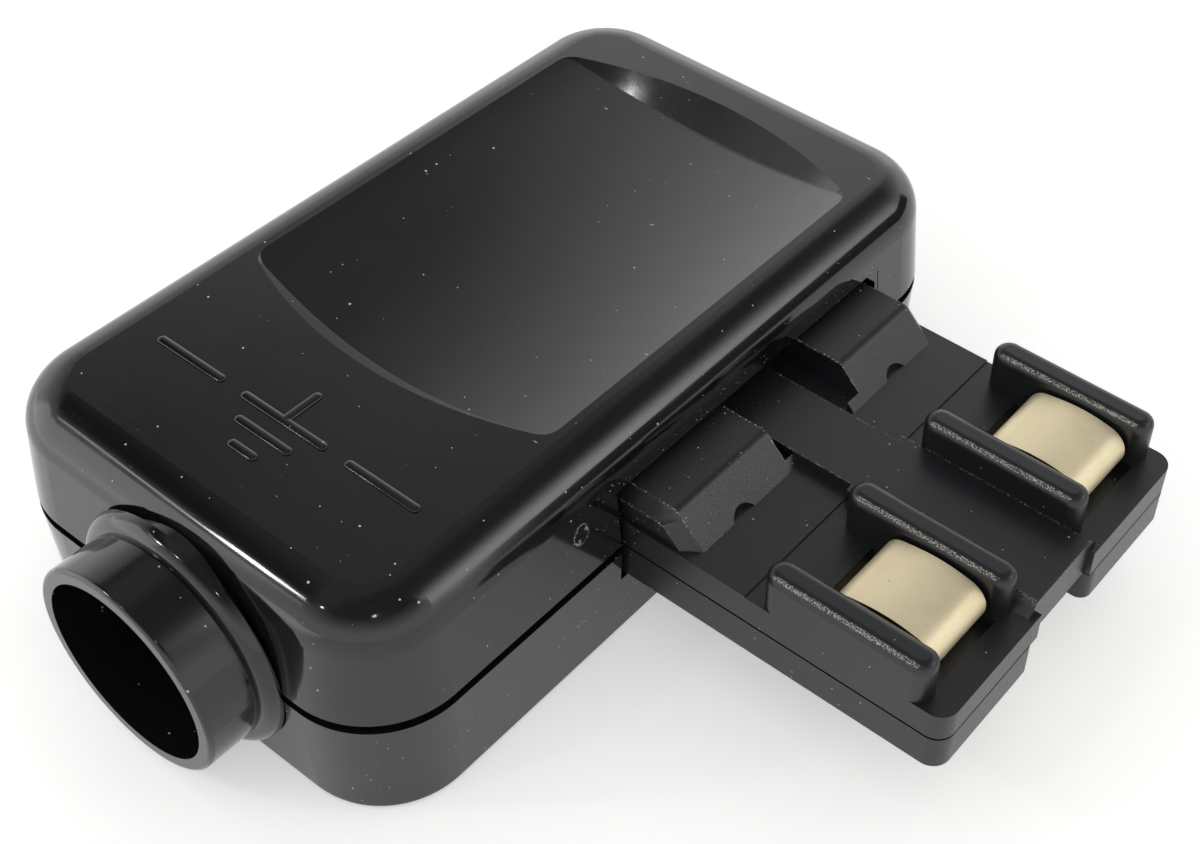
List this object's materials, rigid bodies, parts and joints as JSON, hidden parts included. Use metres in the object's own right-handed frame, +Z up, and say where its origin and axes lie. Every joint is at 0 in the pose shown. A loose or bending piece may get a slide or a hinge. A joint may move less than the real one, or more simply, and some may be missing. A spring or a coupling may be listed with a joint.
{
  "type": "grounded plug",
  "caption": "Flat rewirable mains plug: two glossy shells with a side cord collar and a flat side tongue carrying sprung live contacts between guard ribs and an earth contact in a keyway.",
  "frame": {"origin": "middle of the body's flat underside", "axes": "+X out along the tongue, +Y from the cord end to the far end, +Z up from the underside"},
  "size_m": [0.0559, 0.0604, 0.0165],
  "materials": {
    "shell_gloss": "glossy black moulded thermoset, lightly dusty and scratched",
    "tongue_matte": "satin black moulding with worn, sparkling rib edges",
    "contact_plating": "nickel-plated brass strip, fine wipe marks, bare brass at the cut edges",
    "terminal_brass": "machined brass",
    "screw_steel": "zinc-plated steel",
    "clamp_plastic": "black moulded bar"
  },
  "bodies": {
    "root": {"upper_shell": "shell_gloss", "lower_shell": "shell_gloss", "tongue_upper": "tongue_matte", "tongue_lower": "tongue_matte", "line_contact": "contact_plating", "neutral_contact": "contact_plating", "earth_contact": "contact_plating", "line_terminal": "terminal_brass", "neutral_terminal": "terminal_brass", "earth_terminal": "terminal_brass", "line_terminal_screw": "screw_steel", "neutral_terminal_screw": "screw_steel", "earth_terminal_screw": "screw_steel", "cord_clamp_bar": "clamp_plastic", "clamp_screw_left": "screw_steel", "clamp_screw_right": "screw_steel", "shell_screw_left": "screw_steel", "shell_screw_right": "screw_steel", "shell_screw_far": "screw_steel", "tongue_screw_near": "screw_steel", "tongue_screw_far": "screw_steel"}
  },
  "joints": []
}
